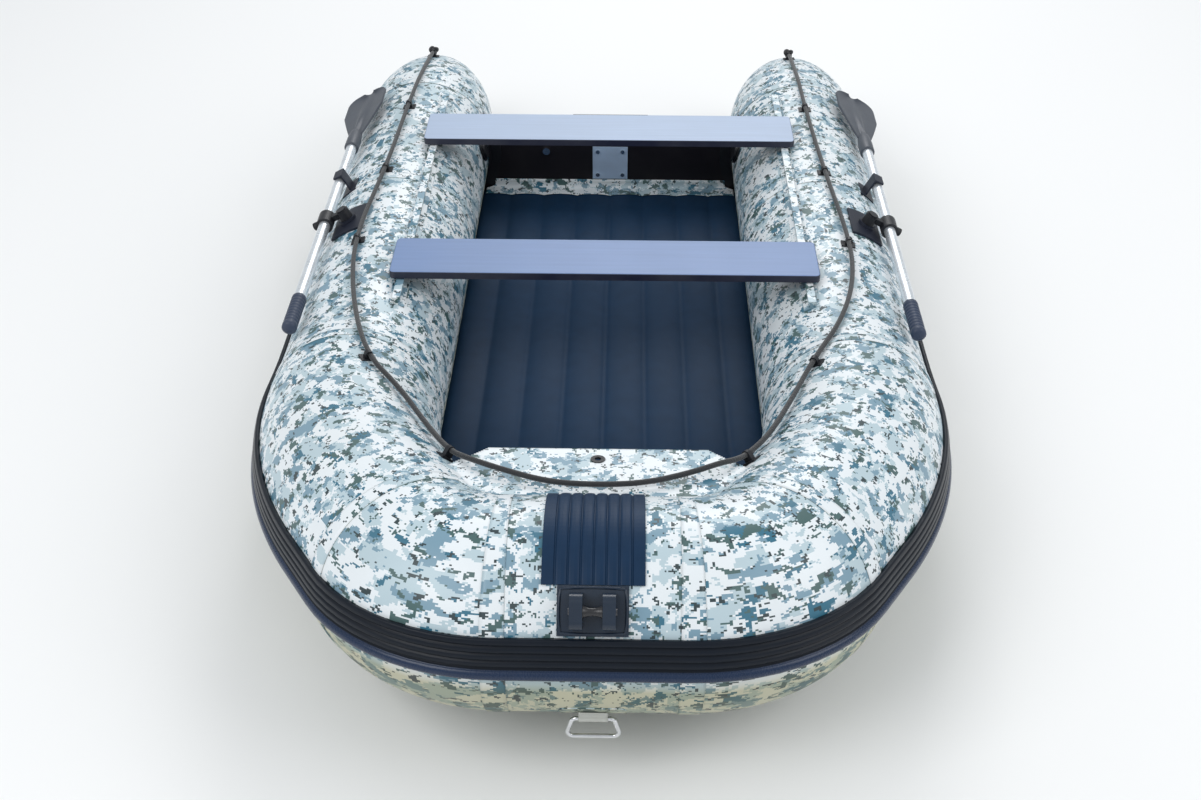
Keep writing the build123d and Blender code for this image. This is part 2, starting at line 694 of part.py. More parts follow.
def rope_knots():
    """Stopper knots that bear on the outer faces of the end holders."""
    knots = []
    for end, near in ((ROUTE[0], ROUTE[1]), (ROUTE[-1], ROUTE[-2])):
        end, near = Vector(*end), Vector(*near)
        out = (end - near).normalized()
        face = Plane(end + out * 0.05, z_dir=out)
        knots.append(face * (Pos(0, 0, knot_radius - 1) * Sphere(knot_radius)
                             - Pos(0, 0, -knot_radius) * Cylinder(2 * knot_radius, 2 * knot_radius)))
    return knots


# ---------------------------------------------------------------- write

nodes = {}
nodes.update(hull_tubes())
nodes["tail_caps"] = tail_caps()
nodes["baffles"] = baffles()
nodes["port_strake"], nodes["starboard_strake"], nodes["bow_strake"] = strakes()
nodes["bottom_panel"], nodes["keel_guard"], nodes["floor_mat"] = floor_pieces()
board, inner_plate, outer_plate, bolts = transom_pieces()
nodes["transom"] = board
nodes["inner_motor_plate"] = inner_plate
nodes["outer_motor_pad"] = outer_plate
nodes["transom_bolts"] = bolts
nodes["tow_eye"] = tow_eye()
nodes["transom_holders"] = transom_holders()
nodes["transom_flap"] = transom_flap()
nodes["bow_apron"], nodes["apron_eyelet"] = apron()
nodes["bow_pad"] = bow_wrap(pad_width, pad_thick, *pad_angles)
nodes["fairlead"], nodes["roller_pin"], nodes["fairlead_roller"], axle = fairlead()
nodes["bow_ring_patch"], nodes["bow_ring"], ring_hinge = bow_ring_pieces()
rail = seat_rail()
nodes["seat_rails"] = [rail, mirrored(rail)]
nodes["front_seat"], nodes["front_seat_sliders"] = seat(front_seat_y)
nodes["rear_seat"], nodes["rear_seat_sliders"] = seat(rear_seat_y)
base = rowlock_base()
nodes["rowlock_bases"] = [base, mirrored(base)]
clip = oar_clip()
nodes["oar_clips"] = [clip, mirrored(clip)]
yoke = rowlock_yoke()
shaft, grip, blade = oar_pieces()
for name, piece in [("rowlock_yoke", yoke), ("oar_shaft", shaft), ("oar_grip", grip), ("oar_blade", blade)]:
    nodes["port_" + name] = piece
    nodes["starboard_" + name] = mirrored(piece)

bodies, caps = [], []
for node, place in valve_places().items():
    nodes[node] = nodes[node] - place.location * Cylinder(valve_cup[0] + 0.2, 60)
    body, cap = valve(place)
    bodies.append(body)
    caps.append(cap)
nodes["valve_bodies"], nodes["valve_caps"] = bodies, caps

nodes["lifeline"] = rope()
cones = [tail_run(-gap), mirrored(tail_run(-gap))]
nodes["lifeline_holders"] = [rope_holder(index, tube_blocks(gap) + cones) for index in HOLDERS]
nodes["lifeline_knots"] = rope_knots()

os.makedirs("parts", exist_ok=True)
for name, piece in nodes.items():
    solids = piece if isinstance(piece, list) else [piece]
    solids = [solid for part in solids for solid in part.solids()]
    export_step(solids[0] if len(solids) == 1 else Compound(children=solids), f"parts/{name}.step")

print("ring hinge", ring_hinge, "roller axle", axle)
print("oar pivot", pivot_plane.origin, pivot_plane.z_dir)
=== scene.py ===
from math import atan2, cos, exp, pi, radians, sin, sqrt

import bmesh
import bpy
from mathutils import Matrix, Vector, noise
from mathutils.bvhtree import BVHTree


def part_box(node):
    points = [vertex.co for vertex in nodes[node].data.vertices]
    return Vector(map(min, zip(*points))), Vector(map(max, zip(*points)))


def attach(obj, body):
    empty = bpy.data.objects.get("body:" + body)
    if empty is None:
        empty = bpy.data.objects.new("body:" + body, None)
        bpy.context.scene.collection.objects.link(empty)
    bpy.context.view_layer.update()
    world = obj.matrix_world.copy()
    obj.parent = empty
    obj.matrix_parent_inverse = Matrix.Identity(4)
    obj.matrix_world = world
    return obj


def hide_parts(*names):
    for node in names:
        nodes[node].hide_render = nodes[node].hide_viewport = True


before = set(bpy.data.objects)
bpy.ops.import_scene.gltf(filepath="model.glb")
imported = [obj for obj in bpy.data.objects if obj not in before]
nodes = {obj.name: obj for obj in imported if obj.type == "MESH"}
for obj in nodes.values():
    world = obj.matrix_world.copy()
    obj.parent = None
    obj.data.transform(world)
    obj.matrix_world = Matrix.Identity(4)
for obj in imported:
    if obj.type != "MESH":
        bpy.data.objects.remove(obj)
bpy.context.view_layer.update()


# ---------------------------------------------------------------- studio
# A pale sheet of floor under the boat, three soft lights and an even sky.
# The camera stands ahead of the bow, above it, and looks aft and down.

floor_mesh = bmesh.new()
bmesh.ops.create_grid(floor_mesh, x_segments=1, y_segments=1, size=40)


def to_object(bm, name, smooth=True):
    """The finished mesh as an object at the origin."""
    mesh = bpy.data.meshes.new(name)
    bm.to_mesh(mesh)
    bm.free()
    if smooth:
        mesh.shade_smooth()
    piece = bpy.data.objects.new(name, mesh)
    bpy.context.scene.collection.objects.link(piece)
    return piece


def add(tree, kind, values=None, **settings):
    """A shader node with its settings; a value that is a socket is linked."""
    made = tree.nodes.new(kind)
    for key, value in settings.items():
        setattr(made, key, value)
    for key, value in (values or {}).items():
        if isinstance(value, bpy.types.NodeSocket):
            tree.links.new(value, made.inputs[key])
        else:
            made.inputs[key].default_value = value
    return made


def new_material(name, **sockets):
    """A material with its own Principled shader, and plain values set on the shader."""
    made = bpy.data.materials.new(name)
    made.use_nodes = True
    shader = made.node_tree.nodes["Principled BSDF"]
    for key, value in sockets.items():
        shader.inputs[key.replace("_", " ")].default_value = value
    return made, made.node_tree, shader


studio_floor, tree, shader = new_material("studio_floor", Roughness=0.7)
shader.inputs["Base Color"].default_value = (0.89, 0.89, 0.89, 1)
ground = to_object(floor_mesh, "studio_ground")
ground.data.materials.append(studio_floor)

for name, place, aim, size, power in [
    ("key_light", (-3.5, -3.5, 5.0), (0, -0.2, 0.2), 3.6, 150),
    ("fill_light", (4.5, -2.0, 4.0), (0, 0, 0.2), 3.6, 95),
    ("back_light", (0.5, 5.0, 4.5), (0, 0, 0.3), 3.0, 120),
]:
    lamp = bpy.data.lights.new(name, "AREA")
    lamp.size, lamp.energy = size, power
    lit = bpy.data.objects.new(name, lamp)
    lit.location = place
    lit.rotation_euler = (Vector(aim) - Vector(place)).to_track_quat("-Z", "Y").to_euler()
    bpy.context.scene.collection.objects.link(lit)

sky = bpy.data.worlds.new("studio_sky")
sky.use_nodes = True
sky.node_tree.nodes["Background"].inputs["Color"].default_value = (0.93, 0.97, 1.0, 1)
sky.node_tree.nodes["Background"].inputs["Strength"].default_value = 0.62
bpy.context.scene.world = sky

lens = bpy.data.cameras.new("camera")
lens.lens, lens.sensor_width = 43.9, 36
lens.clip_end = 60
camera = bpy.data.objects.new("camera", lens)
camera.location = (0.0472, -3.1267, 2.1726)
camera.rotation_euler = (radians(90 - 36.13), 0, radians(1.10))
bpy.context.scene.collection.objects.link(camera)
bpy.context.scene.camera = camera
bpy.context.scene.view_settings.view_transform = "Standard"


# ---------------------------------------------------------------- buoyancy tubes
# Coated fabric tubes, glued from panels and blown up hard. Two sides run level, rise towards
# the bow, bend inwards and meet in a short bow tube; the tails taper behind the transom.

tube_radius = 0.194
tube_x = 0.554
tail_start = 0.940
rise_start = -0.300
bow_pitch = radians(7.8)
bend_radius, bend_angle = 1.0, radians(31)
bow_flat = 0.120
corner_radius, corner_angle = 0.215, radians(59)
bow_y = -1.19425
bow_half = 0.16508
tail_curve, tail_tip = 0.750, 0.068
bend_out = bend_radius * sin(bend_angle) + bow_flat * cos(bend_angle)
bend_out += corner_radius * (1 - sin(bend_angle))
bend_start = bow_y + bend_out * cos(bow_pitch)
rise_radius = (rise_start - bend_start) / sin(bow_pitch)
side_length = tail_start - rise_start
side_end = side_length + rise_radius * bow_pitch
bend_end = side_end + bend_radius * bend_angle + bow_flat
corner_end = bend_end + corner_radius * corner_angle
tube_length = corner_end + bow_half


def section(length):
    """Places a section on the port tube: X outboard, Y up, Z forward along the tube."""
    place = Matrix.Translation((tube_x, tail_start, tube_radius)) @ Matrix.Rotation(pi / 2, 4, "X")
    legs = [
        (None, side_length, 0), ("up", rise_radius * bow_pitch, rise_radius),
        ("in", bend_radius * bend_angle, bend_radius), (None, bow_flat, 0),
        ("in", corner_radius * corner_angle, corner_radius), (None, bow_half, 0)]
    for way, run, radius in legs:
        step = min(run, length)
        if way is None:
            place = place @ Matrix.Translation((0, 0, step))
        else:
            toward = Vector((0, 1, 0)) if way == "up" else Vector((-1, 0, 0))
            axis = (-toward).cross(Vector((0, 0, 1)))
            centre = Matrix.Translation(toward * radius)
            place = place @ centre @ Matrix.Rotation(step / radius, 4, axis) @ centre.inverted()
        length -= step
        if length <= 0:
            break
    return place


def stations(start, end, step):
    """Lengths along the tube from start to end, with one at every change of curve."""
    marks = [start] + [m for m in (side_length, side_end, bend_end - bow_flat, bend_end, corner_end)
                       if start < m < end] + [end]
    lengths = [start]
    for low, high in zip(marks, marks[1:]):
        count = max(1, round((high - low) / step))
        lengths += [low + (high - low) * k / count for k in range(1, count + 1)]
    return lengths


def carry(bm, edges, lengths, along=None):
    """Extrudes a section's edges along the tube, and notes how far each vertex has gone."""
    last = section(lengths[0])
    for here in lengths[1:]:
        placed = section(here)
        grown = bmesh.ops.extrude_edge_only(bm, edges=edges)["geom"]
        verts = [part for part in grown if isinstance(part, bmesh.types.BMVert)]
        bmesh.ops.transform(bm, matrix=placed @ last.inverted(), verts=verts)
        if along:
            for vert in verts:
                vert[along] = here
        last = placed
        edges = [part for part in grown if isinstance(part, bmesh.types.BMEdge)]
        edges = [edge for edge in edges if edge.verts[0] in verts and edge.verts[1] in verts]
    return edges


def both_sides(bm):
    """Adds the mirror image across the middle of the boat and joins it on."""
    everything = bm.verts[:] + bm.edges[:] + bm.faces[:]
    bmesh.ops.mirror(bm, geom=everything, matrix=Matrix.Identity(4), merge_dist=0.0001, axis="X")
    bmesh.ops.remove_doubles(bm, verts=bm.verts, dist=0.0001)
    bmesh.ops.recalc_face_normals(bm, faces=bm.faces)


def print_map(bm, along, around, offset=0.0):
    """A map in metres, along the tube and round it, for the printed pattern."""
    uv = bm.loops.layers.uv.new("print_map")
    for face in bm.faces:
        turns = [loop.vert[around] for loop in face.loops]
        for loop, turn in zip(face.loops, turns):
            if max(turns) - min(turns) > pi and turn < 0:
                turn += 2 * pi
            length = loop.vert[along]
            if loop.vert.co.x < 0:
                length = 2 * tube_length - length
            loop[uv].uv = (length + offset, turn * tube_radius)


skin = bmesh.new()
along = skin.verts.layers.float.new("along")
around = skin.verts.layers.float.new("around")
first = bmesh.ops.create_circle(skin, segments=96, radius=tube_radius)["verts"]
for vert in first:
    vert[around] = atan2(vert.co.y, vert.co.x)
bmesh.ops.transform(skin, matrix=section(0), verts=first)
ring = skin.edges[:]
carry(skin, ring, stations(0, side_end, 0.03) + stations(side_end, tube_length, 0.009)[1:], along)

# the tail narrows in a long curve to the seat of its end cap
reach = sqrt(tail_curve ** 2 - (tail_curve - tube_radius + tail_tip) ** 2)
last_radius = tube_radius
loop = ring
for k in range(1, 33):
    back = reach * k / 32
    radius = sqrt(tail_curve ** 2 - back ** 2) - tail_curve + tube_radius
    grown = bmesh.ops.extrude_edge_only(skin, edges=loop)["geom"]
    verts = [part for part in grown if isinstance(part, bmesh.types.BMVert)]
    for vert in verts:
        vert[along] = -back
    centre = Matrix.Translation((tube_x, tail_start + back, tube_radius))
    shrink = Matrix.Diagonal((radius / last_radius, 1, radius / last_radius, 1))
    step = Matrix.Translation((0, reach / 32, 0))
    bmesh.ops.transform(skin, matrix=centre @ shrink @ centre.inverted() @ step, verts=verts)
    loop = [part for part in grown if isinstance(part, bmesh.types.BMEdge)
            and part.verts[0] in verts and part.verts[1] in verts]
    last_radius = radius
bmesh.ops.edgeloop_fill(skin, edges=loop)

# the fabric puckers a little on the inner side of the bends
skin.normal_update()
for vert in skin.verts:
    s = vert[along]
    if s > side_end - 0.1:
        inner = exp(-((abs(vert[around]) - pi) / 0.75) ** 2)
        ends = min(1, (s - side_end + 0.1) / 0.1) * min(1, max(0, corner_end + 0.05 - s) / 0.1)
        fold = sin(2 * pi * s / 0.052 + 2 * noise.noise(Vector((s * 7, vert[around], 3))))
        vert.co += vert.normal * 0.0016 * inner * ends * fold
both_sides(skin)
print_map(skin, along, around)


def new_group(name, inputs, outputs):
    """A shader node group with named sockets."""
    tree = bpy.data.node_groups.new(name, "ShaderNodeTree")
    for label, kind, value in inputs:
        socket = tree.interface.new_socket(name=label, in_out="INPUT", socket_type=kind)
        if value is not None:
            socket.default_value = value
    for label, kind in outputs:
        tree.interface.new_socket(name=label, in_out="OUTPUT", socket_type=kind)
    return tree, tree.nodes.new("NodeGroupInput"), tree.nodes.new("NodeGroupOutput")


def patches(tree, spot, shift, scale, level):
    """Ragged patches of one colour: 1 inside them, 0 outside."""
    moved = add(tree, "ShaderNodeMapping", {"Vector": spot, "Location": shift})
    cloud = add(tree, "ShaderNodeTexNoise", {
        "Vector": moved.outputs["Vector"], "Scale": scale, "Detail": 4.0,
        "Roughness": 0.66, "Distortion": 0.2})
    mask = add(tree, "ShaderNodeMath", {0: cloud.outputs["Fac"], 1: level},
               operation="GREATER_THAN")
    return mask.outputs[0]


def camouflage():
    """Camouflage in small squares: ice, pale grey, slate, teal, grey-green and near-black."""
    tree, given, out = new_group("digital_print", [
        ("Vector", "NodeSocketVector", None), ("Square", "NodeSocketFloat", 0.0030)],
        [("Color", "NodeSocketColor")])
    size = add(tree, "ShaderNodeCombineXYZ", {axis: given.outputs["Square"] for axis in "XYZ"})
    spot = add(tree, "ShaderNodeVectorMath", {0: given.outputs["Vector"], 1: size.outputs[0]},
               operation="SNAP").outputs[0]
    colour = (0.79, 0.835, 0.865, 1)
    for ink, shift, scale, level in [
        ((0.48, 0.60, 0.655, 1), (3, 1, 0), 17, 0.520),
        ((0.19, 0.32, 0.41, 1), (7, 9, 2), 22, 0.560),
        ((0.028, 0.150, 0.230, 1), (1, 4, 5), 19, 0.596),
        ((0.055, 0.120, 0.120, 1), (13, 5, 0), 27, 0.585),
        ((0.018, 0.040, 0.048, 1), (9, 7, 1), 46, 0.605),
    ]:
        mask = patches(tree, spot, shift, scale, level)
        mix = add(tree, "ShaderNodeMix", {"Factor": mask}, data_type="RGBA")
        if isinstance(colour, tuple):
            mix.inputs[6].default_value = colour
        else:
            tree.links.new(colour, mix.inputs[6])
        mix.inputs[7].default_value = ink
        colour = mix.outputs[2]
    tree.links.new(colour, out.inputs["Color"])
    return tree


def worn():
    """Faint dust, handling marks and fine cloth: changes to colour and gloss, and a height."""
    tree, given, out = new_group("handling", [
        ("Vector", "NodeSocketVector", None), ("Color", "NodeSocketColor", (0.5, 0.5, 0.5, 1)),
        ("Dust", "NodeSocketFloat", 0.1), ("Gloss", "NodeSocketFloat", 0.4),
        ("Grain", "NodeSocketFloat", 900.0)],
        [("Color", "NodeSocketColor"), ("Roughness", "NodeSocketFloat"),
         ("Height", "NodeSocketFloat")])
    cloud = add(tree, "ShaderNodeTexNoise", {
        "Vector": given.outputs["Vector"], "Scale": 6.0, "Detail": 6.0, "Roughness": 0.6})
    fine = add(tree, "ShaderNodeTexNoise", {
        "Vector": given.outputs["Vector"], "Scale": given.outputs["Grain"], "Detail": 2.0})
    amount = add(tree, "ShaderNodeMapRange", {
        "Value": cloud.outputs["Fac"], "From Min": 0.4, "From Max": 0.75,
        "To Min": 0.0, "To Max": given.outputs["Dust"]})
    dusty = add(tree, "ShaderNodeMix", {"Factor": amount.outputs[0]}, data_type="RGBA")
    tree.links.new(given.outputs["Color"], dusty.inputs[6])
    dusty.inputs[7].default_value = (0.42, 0.41, 0.38, 1)
    shift = add(tree, "ShaderNodeMapRange", {
        "Value": fine.outputs["Fac"], "From Min": 0.3, "From Max": 0.7,
        "To Min": -0.06, "To Max": 0.06})
    gloss = add(tree, "ShaderNodeMath", {0: given.outputs["Gloss"], 1: shift.outputs[0]},
                operation="ADD")
    rough = add(tree, "ShaderNodeMath", {0: gloss.outputs[0], 1: amount.outputs[0]},
                operation="ADD")
    tree.links.new(dusty.outputs[2], out.inputs["Color"])
    tree.links.new(rough.outputs[0], out.inputs["Roughness"])
    tree.links.new(fine.outputs["Fac"], out.inputs["Height"])
    return tree


digital_print = camouflage()
handling = worn()


def finish_with(tree, shader, vector, colour, dust, gloss, grain, strength, distance=0.0004):
    """Runs a colour through the handling group and into the shader, with a fine bump."""
    marks = add(tree, "ShaderNodeGroup", node_tree=handling)
    tree.links.new(vector, marks.inputs["Vector"])
    if isinstance(colour, tuple):
        marks.inputs["Color"].default_value = colour
    else:
        tree.links.new(colour, marks.inputs["Color"])
    marks.inputs["Dust"].default_value = dust
    marks.inputs["Gloss"].default_value = gloss
    marks.inputs["Grain"].default_value = grain
    bump = add(tree, "ShaderNodeBump", {"Height": marks.outputs["Height"], "Strength": strength,
                                        "Distance": distance})
    tree.links.new(marks.outputs["Color"], shader.inputs["Base Color"])
    tree.links.new(marks.outputs["Roughness"], shader.inputs["Roughness"])
    tree.links.new(bump.outputs[0], shader.inputs["Normal"])
    return bump


def printed_fabric(name, map_name=None, square=0.0030):
    """Coated fabric with the camouflage print, and painted shade that makes it darker and yellower
    where it faces down.
    """
    made, tree, shader = new_material(name, Coat_Weight=0.12, Coat_Roughness=0.35)
    place = add(tree, "ShaderNodeTexCoord")
    vector = place.outputs["Object"]
    if map_name:
        vector = add(tree, "ShaderNodeUVMap", uv_map=map_name).outputs[0]
    pattern = add(tree, "ShaderNodeGroup", node_tree=digital_print)
    tree.links.new(vector, pattern.inputs["Vector"])
    pattern.inputs["Square"].default_value = square
    # painted shade: where the surface faces down, the print is multiplied by a tan colour that
    # darkens and yellows it
    normal = add(tree, "ShaderNodeNewGeometry").outputs["Normal"]
    facing = add(tree, "ShaderNodeSeparateXYZ", {"Vector": normal})
    low = add(tree, "ShaderNodeMapRange", {
        "Value": facing.outputs["Z"], "From Min": 0.04, "From Max": -0.14,
        "To Min": 0.0, "To Max": 1.0})
    painted_underside_shade = add(tree, "ShaderNodeMix", {"Factor": low.outputs[0]}, data_type="RGBA",
               blend_type="MULTIPLY")
    tree.links.new(pattern.outputs[0], painted_underside_shade.inputs[6])
    painted_underside_shade.inputs[7].default_value = (0.62, 0.57, 0.39, 1)
    finish_with(tree, shader, place.outputs["Object"], painted_underside_shade.outputs[2], 0.10, 0.40, 1400.0, 0.12)
    return made


tube_fabric = printed_fabric("tube_fabric", "print_map")
hull_skin = to_object(skin, "hull_skin")
hull_skin.data.materials.append(tube_fabric)
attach(hull_skin, "hull")
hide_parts("port_side_tube", "starboard_side_tube", "port_bow_bend",
            "starboard_bow_bend", "port_bow_corner", "starboard_bow_corner", "bow_tube",
            "port_tail_cone", "starboard_tail_cone", "baffles")


# ---------------------------------------------------------------- seam tapes
# Strips of the same fabric, 30 mm wide, glued over the joints between the tube panels.
# Each is a thin band right round the tube.

tape_width, tape_lift, tape_thick = 0.03, 0.0016, 0.0012
tapes = bmesh.new()
along = tapes.verts.layers.float.new("along")
around = tapes.verts.layers.float.new("around")
centred = [joint - tape_width / 2 for joint in (side_end, bend_end, corner_end)]
for start in [0.02, 0.62] + centred:
    circle = bmesh.ops.create_circle(tapes, segments=96, radius=tube_radius + tape_lift)["verts"]
    for vert in circle:
        vert[around] = atan2(vert.co.y, vert.co.x)
        vert[along] = start
    bmesh.ops.transform(tapes, matrix=section(start), verts=circle)
    rim = list({edge for vert in circle for edge in vert.link_edges})
    carry(tapes, rim, stations(start, start + tape_width, 0.006), along)
both_sides(tapes)
print_map(tapes, along, around, 0.35)
seam_tapes = to_object(tapes, "seam_tapes")
seam_tapes.data.materials.append(tube_fabric)
wall = seam_tapes.modifiers.new("wall", "SOLIDIFY")
wall.thickness, wall.offset = tape_thick, -1
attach(seam_tapes, "hull")


def paint(made, *names):
    """Gives a CAD node its own finish."""
    for name in names:
        slots = nodes[name].data.materials
        slots.clear()
        slots.append(made)


def plain_finish(name, colour, dust, gloss, grain, strength, distance=0.0004, **sockets):
    """A one-colour finish with dust, uneven gloss and a fine grain."""
    made, tree, shader = new_material(name, **sockets)
    place = add(tree, "ShaderNodeTexCoord").outputs["Object"]
    cloud = add(tree, "ShaderNodeTexNoise", {"Vector": place, "Scale": 25.0, "Detail": 4.0})
    shade = add(tree, "ShaderNodeMapRange", {
        "Value": cloud.outputs["Fac"], "To Min": 0.82, "To Max": 1.18})
    tone = add(tree, "ShaderNodeVectorMath", {0: colour[:3]}, operation="SCALE")
    tree.links.new(shade.outputs[0], tone.inputs["Scale"])
    finish_with(tree, shader, place, tone.outputs[0], dust, gloss, grain, strength, distance)
    return made


# ---------------------------------------------------------------- tail caps
# Moulded rubber domes that close the ends of the tails, glued on with a rolled edge.

cap_rubber = plain_finish("cap_rubber", (0.62, 0.66, 0.66), 0.25, 0.5, 700.0, 0.2)
paint(cap_rubber, "tail_caps")


# ---------------------------------------------------------------- rub strake
# A black rubber moulding glued round the outside of the hull: four ribs above a fat
# rounded bead, which takes the knocks of a quay.

strake = bmesh.new()
level_at = strake.verts.layers.float.new("level_at")
outline = [(18.4, 0.0004), (18.2, 0.0080), (17.6, 0.0098)]
for k in range(4):
    top = 17.3 - k * 3.85
    outline += [(top, 0.0100), (top - 1.7, 0.0108), (top - 2.1, 0.0100), (top - 2.5, 0.0062),
                (top - 3.3, 0.0062), (top - 3.7, 0.0098)]
for k in range(8):
    turn = radians(90 - 22.5 * k)
    outline.append((-1.6 + 3.05 * sin(turn), 0.0066 + 0.0088 * cos(turn)))
outline += [(angle, 0.0004) for angle in (-4.9, 0, 6, 12)]
rim = []
for angle, depth in outline:
    r = tube_radius + depth
    rim.append(strake.verts.new((r * cos(radians(angle)), r * sin(radians(angle)), 0)))
    rim[-1][level_at] = angle if depth > 0.0005 else 9
edges = [strake.edges.new((a, b)) for a, b in zip(rim, rim[1:] + rim[:1])]
bmesh.ops.transform(strake, matrix=section(0.004), verts=rim)
bmesh.ops.contextual_create(strake, geom=edges)
carry(strake, edges, stations(0.004, side_end, 0.06) + stations(side_end, tube_length, 0.02)[1:])
both_sides(strake)
# the bead's faces get a lighter navy copy of the black rubber: painted sheen
for face in strake.faces:
    if sum(vert[level_at] for vert in face.verts) / len(face.verts) < 1.5:
        face.material_index = 1
strake_rubber = plain_finish("strake_rubber", (0.0050, 0.0085, 0.0155), 0.008, 0.36, 500.0, 0.12,
                             Specular_IOR_Level=0.2)
rub_strake = to_object(strake, "rub_strake")
rub_strake.data.materials.append(strake_rubber)
# painted sheen: a lighter navy copy of the strake's black rubber, for the bead
bead_painted_sheen = plain_finish("bead_painted_sheen", (0.008, 0.022, 0.060), 0.008, 0.27, 500.0, 0.1,
                           Specular_IOR_Level=0.4)
rub_strake.data.materials.append(bead_painted_sheen)
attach(rub_strake, "hull")
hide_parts("port_strake", "starboard_strake", "bow_strake")


# ---------------------------------------------------------------- bottom and keel guard
# The bottom is one sheet of the printed fabric, stretched between the tubes; a strip of
# black rubber guards its middle line.

bottom_fabric = printed_fabric("bottom_fabric")
panel_mesh = nodes["bottom_panel"].data
panel_tree = BVHTree.FromPolygons([v.co for v in panel_mesh.vertices],
                                  [p.vertices for p in panel_mesh.polygons])
panel_low, panel_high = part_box("bottom_panel")
up = Vector((0, 0, 1))
bottom = bmesh.new()
bottom_rows, search_step = 150, 0.003
rows_y = [panel_low.y + 0.002 + (panel_high.y - panel_low.y - 0.004) * k / bottom_rows
          for k in range(bottom_rows + 1)]
found_halves = []
for y in rows_y:
    half = 0.004
    while half < panel_high.x and panel_tree.ray_cast(Vector((half, y, -0.1)), up)[0]:
        half += search_step
    found_halves.append(half - search_step)
half_rows = []
for k in range(bottom_rows + 1):
    near = found_halves[max(0, k - 1):k + 2]
    half_rows.append(sum(near) / len(near) - 0.001)
grid = bmesh.ops.create_grid(bottom, x_segments=90, y_segments=bottom_rows, size=1)["verts"]
for vert in grid:
    row = round((vert.co.y + 1) / 2 * bottom_rows)
    x, y = vert.co.x * half_rows[row], rows_y[row]
    hit = panel_tree.ray_cast(Vector((x, y, -0.1)), up)[0]
    height = hit.z if hit else panel_low.z
    slack = 0.0005 * noise.noise(Vector((x * 9, y * 4, 2))) * (1 - abs(vert.co.x) ** 4)
    vert.co = Vector((x, y, height + 0.0006 + slack))
bottom_area = sum(face.calc_area() for face in bottom.faces)
bottom_skin = to_object(bottom, "bottom_skin")
bottom_skin.data.materials.append(bottom_fabric)
cloth = bottom_skin.modifiers.new("cloth", "SOLIDIFY")
cloth.thickness, cloth.offset = 0.0012, 1
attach(bottom_skin, "hull")
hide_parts("bottom_panel")
paint(strake_rubber, "keel_guard")


# ---------------------------------------------------------------- floor mat
# A blown-up mat of slate-blue coated fabric. Webs inside it pull its skin into long
# channels, and its edges are round.

mat_node = nodes["floor_mat"]
mat_tree = BVHTree.FromPolygons([v.co for v in mat_node.data.vertices],
                                [p.vertices for p in mat_node.data.polygons])
mat_low, mat_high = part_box("floor_mat")
channel = 0.0985
mat_rows, mat_thick, edge_round = 150, 0.056, 0.028


def mat_profile(y):
    """Top height and half width of the mat at one place along the boat."""
    top = mat_tree.ray_cast(Vector((0.011, y, 2)), Vector((0, 0, -1)))[0]
    top = top.z if top else mat_high.z
    side = mat_tree.ray_cast(Vector((0.011, y, top - mat_thick / 2)), Vector((1, 0, 0)))[0]
    return top, (side.x + 0.002 if side else 0.04)


rows = [mat_high.y - (mat_high.y - mat_low.y - 0.004) * (1 - (1 - k / mat_rows) ** 1.3)
        for k in range(mat_rows + 1)]
profiles = [mat_profile(min(max(y, mat_low.y + 0.004), mat_high.y - 0.004)) for y in rows]
mat = bmesh.new()
for upper in (1, 0):
    sheet = bmesh.ops.create_grid(mat, x_segments=128, y_segments=mat_rows, size=1)["verts"]
    for vert in sheet:
        row = round((vert.co.y + 1) / 2 * mat_rows)
        top, half = profiles[row]
        x = vert.co.x * half
        edge = min(half - abs(x), mat_high.y - rows[row] + 0.0001, rows[row] - mat_low.y + 0.0001)
        round_off = edge_round * (1 - sqrt(max(0, 1 - (1 - min(edge / 0.03, 1)) ** 2)))
        groove = abs(sin(pi * x / channel)) ** 0.55
        crown = 0.0075 * (1 - groove)
        height = top - round_off - crown if upper else top - mat_thick + round_off
        vert.co = Vector((x, rows[row], height))
bmesh.ops.remove_doubles(mat, verts=mat.verts, dist=0.0006)
bmesh.ops.recalc_face_normals(mat, faces=mat.faces)
mat_fabric = plain_finish("mat_fabric", (0.0080, 0.032, 0.076), 0.008, 0.52, 1500.0, 0.3,
                          Specular_IOR_Level=0.12)
floor_mat_soft = to_object(mat, "floor_mat_soft")
floor_mat_soft.data.materials.append(mat_fabric)
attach(floor_mat_soft, "hull")
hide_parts("floor_mat")


# ---------------------------------------------------------------- transom
# A board of painted plywood held in moulded channels on the tubes, with a metal plate
# inside and a pad outside for the motor's clamps, four bolts and a tow eye.

black_paint = plain_finish("black_paint", (0.009, 0.007, 0.010), 0.02, 0.38, 350.0, 0.1,
                           Specular_IOR_Level=0.4)
moulded_black = plain_finish("moulded_black", (0.008, 0.009, 0.013), 0.02, 0.42, 900.0, 0.2,
                             Specular_IOR_Level=0.4)
clamp_plate = plain_finish("clamp_plate", (0.50, 0.64, 0.84), 0.05, 0.36, 240.0, 0.15,
                           Metallic=0.2)
polished_steel = plain_finish("polished_steel", (0.72, 0.73, 0.75), 0.03, 0.16, 300.0, 0.05,
                              Metallic=1.0)
paint(black_paint, "transom")
paint(moulded_black, "transom_holders", "outer_motor_pad")
paint(clamp_plate, "inner_motor_plate")
paint(polished_steel, "transom_bolts", "tow_eye")

